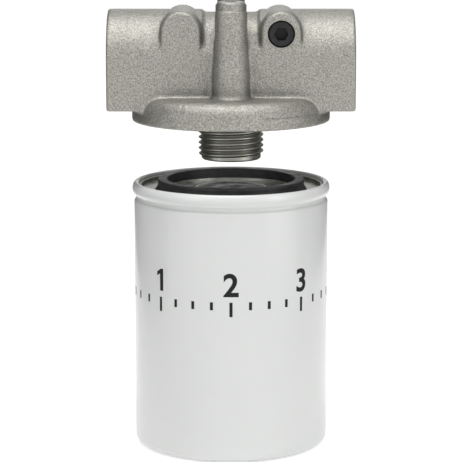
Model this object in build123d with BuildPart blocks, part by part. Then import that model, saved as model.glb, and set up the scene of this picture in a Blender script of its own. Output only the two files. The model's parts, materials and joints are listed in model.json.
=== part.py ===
from build123d import *
import os
from math import cos, pi, sin

# A return line filter: a die-cast head with a bypass valve, and a spin-on can with its element.
# Millimetres. +Z is up, +X runs along the ports towards the inlet, -Y is the front. The origin is the
# middle of the two mounting holes, on the post tops. The can is drawn unscrewed, below the head.

# Head casting. Heights are above the flange's sealing face.
post_height = 47.2
head_length = 95.25
barrel_half_depth = 19.5
barrel_crown = 43.2
barrel_floor = 5.4
barrel_end_radius = 1.5
waist_half_width = 10.2
waist_draft = 2.8
waist_step = 1.4
waist_fade = 5.0
waist_crown_step = 1.2
pad_spacing = 38.2
pad_half_width = 7.95
pad_crown = 43.6
flange_diameter = 77.2
flange_height = 10.5
flange_shoulder = 5.7
post_spacing = 38.1
post_foot_radius = 7.1
post_flare_low = 20.0
post_flare_high = 30.0
post_radius = 6.2
post_neck_radius = 5.6
post_neck_length = 3.4
post_shoulder = 0.9
post_edge = 0.5
mount_hole_radius = 2.55
mount_hole_depth = 18.0

# Threaded stub, drawn at the root of its thread, and the can's thread at its root
thread_radius = 12.7
thread_depth = 1.15
thread_clearance = 0.1
stub_length = 15.2
stub_chamfer = 0.5
stub_bore_radius = 8.5

# Passages in the head
port_radius = 12.0
port_depth = 18.0
port_countersink = 1.2
passage_radius = 10.0
gallery_inner_radius = 14.2
gallery_outer_radius = 24.4
gallery_height = 6.5
inlet_drop_half_angle = 42.0
wall_thickness = 5.0
wall_relief = 0.7

# Gauge port and its pipe plug
gauge_height = 35.0
gauge_radius = 5.2
gauge_depth = 8.0
gauge_drill_radius = 3.4
plug_clearance = 0.05
plug_length = 6.8
plug_recess = 0.3
plug_chamfer = 0.6
plug_hex_across_flats = 4.76
plug_hex_depth = 3.6

# Bypass valve
bypass_hole_radius = 5.0
poppet_radius = 7.0
poppet_thickness = 2.2
poppet_nose_clearance = 0.4
poppet_nose_length = 4.0
stem_radius = 2.0
stem_clearance = 0.05
stem_overrun = 1.0
bypass_spring_length = 19.0
bypass_spring_radius = 4.6
bypass_wire_radius = 0.6
bypass_turns = 6
retainer_thickness = 3.0
retainer_hub_radius = 4.0
retainer_rim_width = 2.0
retainer_arm_width = 2.6
retainer_arms = 3
retainer_clearance = 0.05
ring_thickness = 1.0
ring_groove_depth = 0.9
ring_groove_clearance = 0.1
ring_width = 1.6
ring_gap_angle = 50.0
ring_ear_radius = 1.5
ring_ear_hole_radius = 0.6

# Spin-on can. Levels are below the gasket's top face.
can_gap = 23.0
can_height = 105.2
can_radius = 38.0
can_wall = 0.8
can_corner_radius = 3.0
can_foot_width = 5.4
can_panel_rise = 1.5
roll_radius = 38.7
roll_width = 2.8
roll_top = 1.0
roll_height = 5.0
neck_step = 0.5
neck_height = 1.6
lid_level = 4.2
lid_thickness = 0.8
lid_wall_top = 2.2
lid_groove_depth = 1.5
lid_lip_level = 3.4
gasket_inner_radius = 24.95
gasket_foot_radius = 29.45
gasket_top_radius = 28.75
gasket_edge = 0.4
gasket_groove_clearance = 0.15
plate_edge_gap = 2.7
plate_thickness = 3.2
hub_foot_radius = 15.8
hub_top_radius = 13.9
hub_top_level = 3.6
hub_chamfer = 0.6
collar_radius = 14.6
collar_level = 16.5
inlet_holes = 8
inlet_hole_radius = 2.6
inlet_circle_radius = 20.0

# Element inside the can
seal_gap = 0.3
seal_height = 3.9
seal_width = 2.4
cap_radius = 33.2
cap_thickness = 0.6
cap_rim_height = 3.0
cap_dome_radius = 9.0
cap_dome_height = 3.0
tube_clearance = 0.4
tube_wall = 0.7
tube_hole_radius = 2.0
tube_holes_around = 6
tube_hole_rows = 8
media_clearance = 0.1
media_rim_clearance = 0.4
media_thickness = 1.2
pleats = 48
pleat_outer_half_width = 0.9
pleat_inner_half_width = 0.7
clip_thickness = 0.35
clip_clearance = 0.12
clip_leg = 4.0
clip_end_gap = 1.0
support_height = 8.0
support_thickness = 0.8
support_legs = 3
support_leg_width = 9.0
support_ring_inner = 6.0
support_ring_outer = 14.0
support_toe_radius = 26.0
support_toe_length = 4.0

# Levels in the part's own frame, from the sizes above
seal_z = -post_height
barrel_axis_z = seal_z + barrel_crown - barrel_half_depth
flange_radius = flange_diameter / 2
stub_radius = thread_radius - thread_depth
head_end = head_length / 2
valve_seat_x = stub_bore_radius + wall_relief
valve_back_x = valve_seat_x - poppet_thickness
retainer_face_x = valve_back_x - bypass_spring_length
retainer_back_x = retainer_face_x - retainer_thickness
ring_back_x = retainer_back_x - ring_thickness
port_axis = Axis((0, 0, barrel_axis_z), (1, 0, 0))
port_plane = Plane(origin=(0, 0, barrel_axis_z), x_dir=(0, 1, 0), z_dir=(1, 0, 0))
gauge_x = pad_spacing / 2
gauge_z = seal_z + gauge_height
gasket_z = seal_z - can_gap
can_floor_z = gasket_z - can_height
can_inside = can_radius - can_wall
roll_inside = roll_radius - roll_width
plate_radius = can_inside - plate_edge_gap
plate_top = lid_level + lid_groove_depth + lid_thickness
plate_bottom = plate_top + plate_thickness
cap_top = plate_bottom + seal_height
media_top = cap_top + cap_thickness
panel_top = can_height - can_panel_rise - can_wall
lower_cap_bottom = panel_top - support_height
media_bottom = lower_cap_bottom - cap_thickness
tube_inner_radius = collar_radius + tube_clearance
tube_outer_radius = tube_inner_radius + tube_wall
media_inner_radius = tube_outer_radius + media_clearance
media_outer_radius = cap_radius - cap_thickness - media_rim_clearance

os.makedirs("parts", exist_ok=True)


def arch(x, step, crown):
    """An upright arch across the ports; its crown is narrower than its straight sides by a step."""
    crown_radius = barrel_half_depth - step
    springing = seal_z + crown - crown_radius
    foot = seal_z + barrel_floor
    with BuildSketch(Plane.YZ.offset(x)) as profile:
        with BuildLine():
            sides = Polyline(
                (crown_radius, springing),
                (barrel_half_depth, springing - waist_fade),
                (barrel_half_depth, foot),
                (-barrel_half_depth, foot),
                (-barrel_half_depth, springing - waist_fade),
                (-crown_radius, springing),
            )
            ThreePointArc(sides @ 1, (0, seal_z + crown), sides @ 0)
        make_face()
    return profile.sketch


def ring_section(inner, outer, low, high):
    """A rectangular section in the XZ plane, from radius inner to outer, at levels below the gasket."""
    with BuildSketch(Plane.XZ) as profile:
        with BuildLine():
            Polyline(
                (inner, gasket_z - low),
                (outer, gasket_z - low),
                (outer, gasket_z - high),
                (inner, gasket_z - high),
                close=True,
            )
        make_face()
    return profile.sketch


# Head casting
with BuildPart() as head_casting:
    # The waist between the two port barrels, and the barrels with their drafted shoulders
    waist_crown = barrel_crown - waist_crown_step
    extrude(arch(0, waist_step, waist_crown), amount=waist_half_width, both=True)
    for side in (-1, 1):
        shoulder = side * waist_half_width
        barrel = side * (waist_half_width + waist_draft)
        loft([arch(shoulder, waist_step, waist_crown), arch(barrel, 0, barrel_crown)])
        extrude(arch(barrel, 0, barrel_crown), amount=side * (head_end - abs(barrel)))
    for end_face in (head_casting.faces().sort_by(Axis.X)[0], head_casting.faces().sort_by(Axis.X)[-1]):
        fillet(end_face.edges().sort_by(Axis.Z)[1:], radius=barrel_end_radius)

    # Gauge pads, half round on top and flush with the barrels' front and rear
    for side in (-1, 1):
        with BuildSketch(Plane.XZ):
            with BuildLine():
                pad_x = side * pad_spacing / 2
                pad_shoulder_z = seal_z + pad_crown - pad_half_width
                sides = Polyline(
                    (pad_x + pad_half_width, pad_shoulder_z),
                    (pad_x + pad_half_width, barrel_axis_z),
                    (pad_x - pad_half_width, barrel_axis_z),
                    (pad_x - pad_half_width, pad_shoulder_z),
                )
                ThreePointArc(sides @ 1, (pad_x, seal_z + pad_crown), sides @ 0)
            make_face()
        extrude(amount=barrel_half_depth, both=True)

    # Flange with its large rounded shoulder, and the stub below it
    with BuildSketch(Plane.XZ):
        with BuildLine():
            flange_top_z = seal_z + flange_height
            rim_top_z = flange_top_z - flange_shoulder
            Polyline(
                (0, flange_top_z),
                (0, seal_z - stub_length),
                (stub_radius - stub_chamfer, seal_z - stub_length),
                (stub_radius, seal_z - stub_length + stub_chamfer),
                (stub_radius, seal_z),
                (flange_radius, seal_z),
                (flange_radius, rim_top_z),
            )
            RadiusArc(
                (flange_radius, rim_top_z), (flange_radius - flange_shoulder, flange_top_z), -flange_shoulder
            )
            Line((flange_radius - flange_shoulder, flange_top_z), (0, flange_top_z))
        make_face()
    revolve(axis=Axis.Z)

    # Mounting posts, front and rear of the waist
    for post_y in (-post_spacing / 2, post_spacing / 2):
        with BuildSketch(Plane.XZ.offset(-post_y)):
            with BuildLine():
                Polyline(
                    (0, 0),
                    (0, seal_z + barrel_floor),
                    (post_foot_radius, seal_z + barrel_floor),
                    (post_foot_radius, seal_z + post_flare_low),
                    (post_radius, seal_z + post_flare_high),
                    (post_radius, -post_neck_length - post_shoulder),
                    (post_neck_radius, -post_neck_length),
                    (post_neck_radius, -post_edge),
                    (post_neck_radius - post_edge, 0),
                    close=True,
                )
            make_face()
        revolve(axis=Axis((0, post_y, 0), (0, 0, 1)))
        with Locations((0, post_y, 0)):
            Hole(mount_hole_radius, depth=mount_hole_depth)

    # Tapped ports and the passages behind them; a wall is left between the inlet and the outlet
    for end_x, inner_x in ((-head_end, valve_seat_x), (head_end, valve_seat_x + wall_thickness)):
        inward = 1 if end_x < 0 else -1
        with BuildSketch(Plane(origin=(end_x, 0, barrel_axis_z), z_dir=(inward, 0, 0))):
            Circle(port_radius)
        extrude(amount=port_depth, mode=Mode.SUBTRACT)
        with BuildSketch(Plane(origin=(end_x, 0, barrel_axis_z), z_dir=(inward, 0, 0))):
            Circle(passage_radius)
        extrude(amount=abs(inner_x - end_x), mode=Mode.SUBTRACT)
    port_mouths = head_casting.edges().filter_by(GeomType.CIRCLE).group_by(Axis.X)
    for mouth in (port_mouths[0], port_mouths[-1]):
        chamfer(mouth.filter_by(lambda edge: abs(edge.radius - port_radius) < 0.01), port_countersink)

    # Outlet: up through the stub. Inlet: down into a ring-shaped gallery around the stub
    with BuildSketch(Plane.XY.offset(seal_z - stub_length)):
        Circle(stub_bore_radius)
    extrude(amount=stub_length + barrel_axis_z - seal_z, mode=Mode.SUBTRACT)
    with BuildSketch(Plane.XY.offset(seal_z)):
        Circle(gallery_outer_radius)
        Circle(gallery_inner_radius, mode=Mode.SUBTRACT)
    extrude(amount=gallery_height, mode=Mode.SUBTRACT)
    with BuildSketch(Plane.XY.offset(seal_z)):
        Circle(gallery_outer_radius)
        Circle(gallery_inner_radius, mode=Mode.SUBTRACT)
        with BuildLine():
            reach = 2 * gallery_outer_radius
            drop_angle = inlet_drop_half_angle * pi / 180
            Polyline(
                (0, 0),
                (reach * cos(drop_angle), -reach * sin(drop_angle)),
                (reach * cos(drop_angle), reach * sin(drop_angle)),
                close=True,
            )
        make_face(mode=Mode.INTERSECT)
    extrude(amount=barrel_axis_z - seal_z, mode=Mode.SUBTRACT)

    # Bypass hole through the wall, and the groove of the ring that holds the valve
    with BuildSketch(port_plane.offset(valve_seat_x)):
        Circle(bypass_hole_radius)
    extrude(amount=wall_thickness, mode=Mode.SUBTRACT)
    with BuildSketch(port_plane.offset(ring_back_x - ring_groove_clearance)):
        Circle(passage_radius + ring_groove_depth)
    extrude(amount=ring_thickness + ring_groove_clearance, mode=Mode.SUBTRACT)

    # Gauge port in the inlet side's pad
    with BuildSketch(Plane.XZ.offset(barrel_half_depth)):
        with Locations((gauge_x, gauge_z)):
            Circle(gauge_radius)
    extrude(amount=-gauge_depth, mode=Mode.SUBTRACT)
    with BuildSketch(Plane.XZ.offset(barrel_half_depth)):
        with Locations((gauge_x, gauge_z)):
            Circle(gauge_drill_radius)
    extrude(amount=-barrel_half_depth, mode=Mode.SUBTRACT)

head_casting.part.label = "head_casting"
export_step(head_casting.part, "parts/head_casting.step")

# Pipe plug with its hexagon socket
with BuildPart() as gauge_plug:
    plug_face = Plane.XZ.offset(barrel_half_depth - plug_recess)
    with BuildSketch(plug_face):
        with Locations((gauge_x, gauge_z)):
            Circle(gauge_radius - plug_clearance)
    extrude(amount=-plug_length)
    chamfer(gauge_plug.faces().sort_by(Axis.Y)[0].edges(), plug_chamfer)
    with BuildSketch(plug_face):
        with Locations((gauge_x, gauge_z)):
            RegularPolygon(plug_hex_across_flats / 2, 6, major_radius=False)
    extrude(amount=-plug_hex_depth, mode=Mode.SUBTRACT)

gauge_plug.part.label = "gauge_plug"
export_step(gauge_plug.part, "parts/gauge_plug.step")

# Bypass poppet: nose in the hole, disc on the seat, stem towards the outlet
with BuildPart() as bypass_poppet:
    with BuildSketch(Plane.XZ):
        with BuildLine():
            nose_radius = bypass_hole_radius - poppet_nose_clearance
            nose_end = valve_seat_x + poppet_nose_length
            stem_end = retainer_back_x - stem_overrun
            Polyline(
                (stem_end, barrel_axis_z),
                (stem_end, barrel_axis_z + stem_radius),
                (valve_back_x, barrel_axis_z + stem_radius),
                (valve_back_x, barrel_axis_z + poppet_radius),
                (valve_seat_x, barrel_axis_z + poppet_radius),
                (valve_seat_x, barrel_axis_z + nose_radius),
                (nose_end, barrel_axis_z + nose_radius - poppet_nose_clearance),
                (nose_end, barrel_axis_z),
                close=True,
            )
        make_face()
    revolve(axis=port_axis)

bypass_poppet.part.label = "bypass_poppet"
export_step(bypass_poppet.part, "parts/bypass_poppet.step")

# Bypass spring, from the retainer to the back of the poppet
with BuildPart() as bypass_spring:
    with BuildLine():
        coil_start_x = retainer_face_x + bypass_wire_radius
        coil_length = bypass_spring_length - 2 * bypass_wire_radius
        coil = Helix(
            pitch=coil_length / bypass_turns,
            height=coil_length,
            radius=bypass_spring_radius,
            center=(coil_start_x, 0, barrel_axis_z),
            direction=(1, 0, 0),
        )
    with BuildSketch(Plane(origin=coil @ 0, z_dir=coil % 0)):
        Circle(bypass_wire_radius)
    sweep(path=coil)

bypass_spring.part.label = "bypass_spring"
export_step(bypass_spring.part, "parts/bypass_spring.step")

# Spring retainer: a hub on three arms inside a rim
with BuildPart() as spring_retainer:
    retainer_radius = passage_radius - retainer_clearance
    with BuildSketch(port_plane.offset(retainer_back_x)):
        Circle(retainer_radius)
        Circle(retainer_radius - retainer_rim_width, mode=Mode.SUBTRACT)
        with PolarLocations(retainer_radius / 2, retainer_arms):
            Rectangle(retainer_radius - retainer_rim_width / 2, retainer_arm_width)
        Circle(retainer_hub_radius)
        Circle(stem_radius + stem_clearance, mode=Mode.SUBTRACT)
    extrude(amount=retainer_thickness)

spring_retainer.part.label = "spring_retainer"
export_step(spring_retainer.part, "parts/spring_retainer.step")

# Retaining ring: open ring with two drilled ears
with BuildPart() as retaining_ring:
    with BuildSketch(port_plane.offset(ring_back_x)):
        ring_outer = passage_radius + ring_groove_depth - ring_groove_clearance
        ring_inner = ring_outer - ring_groove_depth - ring_width
        Circle(ring_outer)
        Circle(ring_inner, mode=Mode.SUBTRACT)
        with BuildLine():
            gap_angle = ring_gap_angle / 2 * pi / 180
            reach = 2 * ring_outer
            Polyline(
                (0, 0),
                (reach * cos(gap_angle), -reach * sin(gap_angle)),
                (reach * cos(gap_angle), reach * sin(gap_angle)),
                close=True,
            )
        make_face(mode=Mode.SUBTRACT)
        ear_centre_radius = ring_inner + ring_ear_radius / 2
        for side in (-1, 1):
            ear_x = ear_centre_radius * cos(gap_angle)
            ear_y = side * ear_centre_radius * sin(gap_angle)
            with Locations((ear_x, ear_y)):
                Circle(ring_ear_radius)
                Circle(ring_ear_hole_radius, mode=Mode.SUBTRACT)
    extrude(amount=ring_thickness)

retaining_ring.part.label = "retaining_ring"
export_step(retaining_ring.part, "parts/retaining_ring.step")

# Can shell: drawn cup with a rolled rim, a short neck and a raised panel in its bottom
with BuildPart() as can_shell:
    with BuildSketch(Plane.XZ):
        with BuildLine():
            roll_round = roll_width / 2
            roll_top_z = gasket_z - roll_top
            roll_low_z = roll_top_z - roll_height
            neck_z = roll_low_z - neck_height
            neck_outer = can_radius - neck_step
            foot_inner = can_radius - can_corner_radius - can_foot_width
            inner_corner = can_corner_radius - can_wall
            Line((roll_inside, roll_low_z + can_wall), (roll_inside, roll_top_z - roll_round))
            RadiusArc(
                (roll_inside, roll_top_z - roll_round), (roll_inside + roll_round, roll_top_z), roll_round
            )
            RadiusArc(
                (roll_inside + roll_round, roll_top_z), (roll_radius, roll_top_z - roll_round), roll_round
            )
            Line((roll_radius, roll_top_z - roll_round), (roll_radius, roll_low_z + can_wall))
            Polyline(
                (roll_radius, roll_low_z + can_wall),
                (neck_outer, roll_low_z),
                (can_radius, neck_z),
                (can_radius, can_floor_z + can_corner_radius),
            )
            RadiusArc(
                (can_radius, can_floor_z + can_corner_radius),
                (can_radius - can_corner_radius, can_floor_z),
                can_corner_radius,
            )
            Polyline(
                (can_radius - can_corner_radius, can_floor_z),
                (foot_inner, can_floor_z),
                (foot_inner - can_panel_rise, can_floor_z + can_panel_rise),
                (0, can_floor_z + can_panel_rise),
                (0, can_floor_z + can_panel_rise + can_wall),
                (foot_inner - can_panel_rise + can_wall / 2, can_floor_z + can_panel_rise + can_wall),
                (foot_inner + can_wall / 2, can_floor_z + can_wall),
                (can_radius - can_corner_radius, can_floor_z + can_wall),
            )
            RadiusArc(
                (can_radius - can_corner_radius, can_floor_z + can_wall),
                (can_inside, can_floor_z + can_corner_radius),
                -inner_corner,
            )
            Polyline(
                (can_inside, can_floor_z + can_corner_radius),
                (can_inside, neck_z),
                (neck_outer - can_wall, roll_low_z),
                (roll_inside, roll_low_z + can_wall),
            )
        make_face()
    revolve(axis=Axis.Z)

can_shell.part.label = "can_shell"
export_step(can_shell.part, "parts/can_shell.step")

# Seam lid: thin ring with its wall inside the roll, the gasket's groove and an upstanding lip
with BuildPart() as seam_lid:
    with BuildSketch(Plane.XZ):
        with BuildLine():
            groove_outer = gasket_foot_radius + gasket_groove_clearance
            groove_inner = gasket_inner_radius - gasket_groove_clearance
            lid_z = gasket_z - lid_level
            groove_z = lid_z - lid_groove_depth
            lip_z = gasket_z - lid_lip_level
            Polyline(
                (roll_inside - lid_thickness, gasket_z - lid_wall_top),
                (roll_inside - lid_thickness, lid_z),
                (groove_outer, lid_z),
                (groove_outer, groove_z),
                (groove_inner, groove_z),
                (groove_inner, lip_z),
                (groove_inner - lid_thickness, lip_z),
                (groove_inner - lid_thickness, groove_z - lid_thickness),
                (groove_outer + lid_thickness, groove_z - lid_thickness),
                (groove_outer + lid_thickness, lid_z - lid_thickness),
                (roll_inside, lid_z - lid_thickness),
                (roll_inside, gasket_z - lid_wall_top),
                close=True,
            )
        make_face()
    revolve(axis=Axis.Z)

seam_lid.part.label = "seam_lid"
export_step(seam_lid.part, "parts/seam_lid.step")

# Threaded plate: disc with a conical hub above it, a collar below it and a ring of inlet holes
with BuildPart() as threaded_plate:
    with BuildSketch(Plane.XZ):
        with BuildLine():
            hub_bore = thread_radius + thread_clearance
            Polyline(
                (hub_bore, gasket_z - hub_top_level - hub_chamfer),
                (hub_bore + hub_chamfer, gasket_z - hub_top_level),
                (hub_top_radius, gasket_z - hub_top_level),
                (hub_foot_radius, gasket_z - plate_top),
                (plate_radius, gasket_z - plate_top),
                (plate_radius, gasket_z - plate_bottom),
                (collar_radius, gasket_z - plate_bottom),
                (collar_radius, gasket_z - collar_level),
                (hub_bore, gasket_z - collar_level),
                close=True,
            )
        make_face()
    revolve(axis=Axis.Z)
    with BuildSketch(Plane.XY.offset(gasket_z - plate_bottom)):
        with PolarLocations(inlet_circle_radius, inlet_holes, start_angle=180 / inlet_holes):
            Circle(inlet_hole_radius)
    extrude(amount=plate_thickness, mode=Mode.SUBTRACT)

threaded_plate.part.label = "threaded_plate"
export_step(threaded_plate.part, "parts/threaded_plate.step")

# Sealing gasket: moulded ring with a slightly waisted outer side
with BuildPart() as sealing_gasket:
    with BuildSketch(Plane.XZ):
        with BuildLine():
            gasket_floor_z = gasket_z - lid_level - lid_groove_depth
            gasket_middle_radius = gasket_top_radius - gasket_edge / 2
            foot = Polyline(
                (gasket_top_radius, gasket_z - gasket_edge),
                (gasket_top_radius - gasket_edge, gasket_z),
                (gasket_inner_radius + gasket_edge, gasket_z),
                (gasket_inner_radius, gasket_z - gasket_edge),
                (gasket_inner_radius, gasket_floor_z),
                (gasket_foot_radius, gasket_floor_z),
                (gasket_foot_radius, gasket_z - lid_level + gasket_edge),
            )
            ThreePointArc(foot @ 1, (gasket_middle_radius, gasket_z - lid_level / 2), foot @ 0)
        make_face()
    revolve(axis=Axis.Z)

sealing_gasket.part.label = "sealing_gasket"
export_step(sealing_gasket.part, "parts/sealing_gasket.step")

# Cartridge seal: rubber ring between the upper end cap and the threaded plate
with BuildPart() as cartridge_seal:
    seal_inner = collar_radius + seal_gap
    revolve(ring_section(seal_inner, seal_inner + seal_width, plate_bottom, cap_top), axis=Axis.Z)

cartridge_seal.part.label = "cartridge_seal"
export_step(cartridge_seal.part, "parts/cartridge_seal.step")

# Upper end cap: disc with a turned-down rim and the element's outlet hole
with BuildPart() as upper_end_cap:
    revolve(ring_section(tube_inner_radius, cap_radius, cap_top, media_top), axis=Axis.Z)
    rim_section = ring_section(cap_radius - cap_thickness, cap_radius, cap_top, media_top + cap_rim_height)
    revolve(rim_section, axis=Axis.Z)

upper_end_cap.part.label = "upper_end_cap"
export_step(upper_end_cap.part, "parts/upper_end_cap.step")

# Lower end cap: closed disc with a turned-up rim and a dome inside the centre tube
with BuildPart() as lower_end_cap:
    revolve(ring_section(cap_dome_radius, cap_radius, media_bottom, lower_cap_bottom), axis=Axis.Z)
    rim_section = ring_section(
        cap_radius - cap_thickness, cap_radius, media_bottom - cap_rim_height, lower_cap_bottom
    )
    revolve(rim_section, axis=Axis.Z)
    dome_wall = ring_section(
        cap_dome_radius - cap_thickness, cap_dome_radius, media_bottom - cap_dome_height, lower_cap_bottom
    )
    revolve(dome_wall, axis=Axis.Z)
    dome_top = ring_section(
        0, cap_dome_radius, media_bottom - cap_dome_height, lower_cap_bottom - cap_dome_height
    )
    revolve(dome_top, axis=Axis.Z)

lower_end_cap.part.label = "lower_end_cap"
export_step(lower_end_cap.part, "parts/lower_end_cap.step")

# Centre tube, perforated in rows
with BuildPart() as centre_tube:
    revolve(ring_section(tube_inner_radius, tube_outer_radius, media_top, media_bottom), axis=Axis.Z)
    row_spacing = (media_bottom - media_top) / tube_hole_rows
    for row in range(tube_hole_rows):
        row_z = gasket_z - media_top - (row + 0.5) * row_spacing
        half_step = 180 / tube_holes_around * (row % 2)
        for hole in range(tube_holes_around):
            angle = (360 / tube_holes_around * hole + half_step) * pi / 180
            hole_plane = Plane(origin=(0, 0, row_z), z_dir=(cos(angle), sin(angle), 0))
            with BuildSketch(hole_plane.offset(tube_inner_radius / 2)):
                Circle(tube_hole_radius)
            extrude(amount=tube_inner_radius, mode=Mode.SUBTRACT)

centre_tube.part.label = "centre_tube"
export_step(centre_tube.part, "parts/centre_tube.step")


def fold_points(tip_radius, tip_half_width, valley_radius, valley_half_width):
    """Corners of a closed zigzag: each pleat has a tip and a valley, flat where its width isn't zero."""
    points = []
    half_step = pi / pleats
    for pleat in range(pleats):
        centre = 2 * half_step * pleat
        folds = (
            (tip_radius, centre, tip_half_width),
            (valley_radius, centre + half_step, valley_half_width),
        )
        for radius, middle, half_width in folds:
            spread = half_width / radius
            for angle in (middle - spread, middle + spread) if half_width else (middle,):
                points.append((radius * cos(angle), radius * sin(angle)))
    return points


# Pleated media: one folded sheet around the centre tube
with BuildPart() as pleated_media:
    with BuildSketch(Plane.XY.offset(gasket_z - media_bottom)):
        with BuildLine():
            Polyline(
                *fold_points(
                    media_outer_radius, pleat_outer_half_width, media_inner_radius + media_thickness, 0
                ),
                close=True,
            )
        make_face()
        with BuildLine():
            Polyline(
                *fold_points(
                    media_outer_radius - media_thickness, 0, media_inner_radius, pleat_inner_half_width
                ),
                close=True,
            )
        make_face(mode=Mode.SUBTRACT)
    extrude(amount=media_bottom - media_top)

pleated_media.part.label = "pleated_media"
export_step(pleated_media.part, "parts/pleated_media.step")

# Seam clip: a channel over the pleat where the sheet's two ends meet
with BuildPart() as media_seam_clip:
    clip_low = media_bottom - cap_rim_height - clip_end_gap
    clip_high = media_top + cap_rim_height + clip_end_gap
    clip_inner_half = pleat_outer_half_width + clip_clearance
    clip_back = media_outer_radius + media_clearance
    with BuildSketch(Plane.XY.offset(gasket_z - clip_low)):
        with Locations((clip_back - clip_leg / 2 + clip_thickness / 2, 0)):
            Rectangle(clip_leg + clip_thickness, 2 * (clip_inner_half + clip_thickness))
        with Locations((clip_back - clip_leg / 2, 0)):
            Rectangle(clip_leg, 2 * clip_inner_half, mode=Mode.SUBTRACT)
    extrude(amount=clip_low - clip_high)

media_seam_clip.part.label = "media_seam_clip"
export_step(media_seam_clip.part, "parts/media_seam_clip.step")

# Support spring: pressed leaf spring between the lower end cap and the can's bottom
with BuildPart() as support_spring:
    ring_z = gasket_z - lower_cap_bottom
    toe_z = gasket_z - panel_top
    revolve(
        ring_section(
            support_ring_inner, support_ring_outer, lower_cap_bottom, lower_cap_bottom + support_thickness
        ),
        axis=Axis.Z,
    )
    for leg in range(support_legs):
        leg_angle = 2 * pi / support_legs * leg
        leg_plane = Plane(
            origin=(0, 0, 0),
            x_dir=(cos(leg_angle), sin(leg_angle), 0),
            z_dir=(sin(leg_angle), -cos(leg_angle), 0),
        )
        with BuildSketch(leg_plane):
            with BuildLine():
                bend_radius = support_ring_outer - support_thickness
                heel_radius = support_toe_radius - support_toe_length
                Polyline(
                    (bend_radius, ring_z),
                    (bend_radius + support_thickness, ring_z),
                    (heel_radius + support_thickness, toe_z + support_thickness),
                    (support_toe_radius, toe_z + support_thickness),
                    (support_toe_radius, toe_z),
                    (heel_radius, toe_z),
                    (bend_radius, ring_z - support_thickness),
                    close=True,
                )
            make_face()
        extrude(amount=support_leg_width / 2, both=True)

support_spring.part.label = "support_spring"
export_step(support_spring.part, "parts/support_spring.step")
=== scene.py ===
"""The look of a return line filter: a die-cast head and its spin-on can, built round the CAD frame."""

import json
import math

import bmesh
import bpy
from mathutils import Matrix, Vector


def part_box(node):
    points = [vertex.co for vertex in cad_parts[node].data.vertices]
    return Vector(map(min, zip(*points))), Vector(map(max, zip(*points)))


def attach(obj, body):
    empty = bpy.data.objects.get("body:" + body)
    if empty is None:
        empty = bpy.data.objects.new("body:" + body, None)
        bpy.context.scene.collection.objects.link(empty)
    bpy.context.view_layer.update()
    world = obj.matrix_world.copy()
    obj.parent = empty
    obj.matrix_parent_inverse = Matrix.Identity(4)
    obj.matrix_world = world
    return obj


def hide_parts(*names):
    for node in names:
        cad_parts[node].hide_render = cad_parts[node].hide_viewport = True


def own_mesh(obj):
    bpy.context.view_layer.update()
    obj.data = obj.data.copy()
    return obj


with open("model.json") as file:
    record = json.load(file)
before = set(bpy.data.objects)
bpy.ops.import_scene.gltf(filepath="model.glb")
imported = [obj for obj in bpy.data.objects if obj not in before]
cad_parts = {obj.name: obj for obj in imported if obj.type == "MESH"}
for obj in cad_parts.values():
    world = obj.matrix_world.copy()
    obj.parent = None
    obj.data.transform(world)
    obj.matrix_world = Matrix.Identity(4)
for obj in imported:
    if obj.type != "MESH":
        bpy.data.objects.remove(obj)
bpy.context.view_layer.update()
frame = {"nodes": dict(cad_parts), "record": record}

MM = 0.001
CURVE_STEPS = 192
STUB_LENGTH = 15.2 * MM

# Places and sizes taken from the frame, in metres
head_low, head_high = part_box("head_casting")
can_low, can_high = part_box("can_shell")
lid_low, lid_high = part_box("seam_lid")
gasket_low, gasket_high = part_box("sealing_gasket")
plate_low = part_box("threaded_plate")[0]
plug_low, plug_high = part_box("gauge_plug")
mounts = {mount["name"]: mount for mount in frame["record"]["mounts"]}
inlet = mounts["inlet_port"]
posts = mounts["mounting_posts"]

port_radius = inlet["dims"]["r_mm"] * MM
port_z = inlet["pos_m"][2]
post_y = posts["dims"]["spacing_y_mm"] * MM / 2
mount_hole_radius = posts["dims"]["hole_r_mm"] * MM
seal_z = head_low[2] + STUB_LENGTH
flange_radius = head_high[1]
head_end = head_high[0]
gasket_top_z = gasket_high[2]
roll_radius = can_high[0]


# ---------------------------------------------------------------- mesh helpers


def new_object(name, mesh):
    """An object in the scene for a mesh."""
    piece = bpy.data.objects.new(name, mesh)
    bpy.context.collection.objects.link(piece)
    return piece


def at_angle(radius, angle, height):
    """A point at a radius and an angle, in radians, about the Z axis."""
    return (radius * math.cos(angle), radius * math.sin(angle), height)


def arc_points(centre, radius, start, end, steps=10):
    """Points along an arc, in degrees, ends included."""
    points = []
    for step in range(steps + 1):
        angle = math.radians(start + (end - start) * step / steps)
        points.append((centre[0] + radius * math.cos(angle), centre[1] + radius * math.sin(angle)))
    return points


def revolve_into(shape, outline, centre=(0, 0), segments=CURVE_STEPS):
    """A closed outline of (radius, height) points turned about a vertical axis, added to a shape."""
    rings = []
    for radius, height in outline:
        if radius < 1e-7:
            rings.append([shape.verts.new((*centre, height))])
            continue
        ring = []
        for step in range(segments):
            angle = 2 * math.pi * step / segments
            across = centre[0] + radius * math.cos(angle)
            along = centre[1] + radius * math.sin(angle)
            ring.append(shape.verts.new((across, along, height)))
        rings.append(ring)
    for index, ring in enumerate(rings):
        other = rings[(index + 1) % len(rings)]
        if len(ring) == 1 and len(other) == 1:
            continue
        for step in range(segments):
            after = (step + 1) % segments
            corners = [ring[step % len(ring)], ring[after % len(ring)]]
            corners += [other[after % len(other)], other[step % len(other)]]
            shape.faces.new(list(dict.fromkeys(corners)))


def mesh_object(name, shape):
    """A new object from a finished shape, its faces turned outwards."""
    bmesh.ops.recalc_face_normals(shape, faces=shape.faces)
    mesh = bpy.data.meshes.new(name)
    shape.to_mesh(mesh)
    shape.free()
    return new_object(name, mesh)


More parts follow.
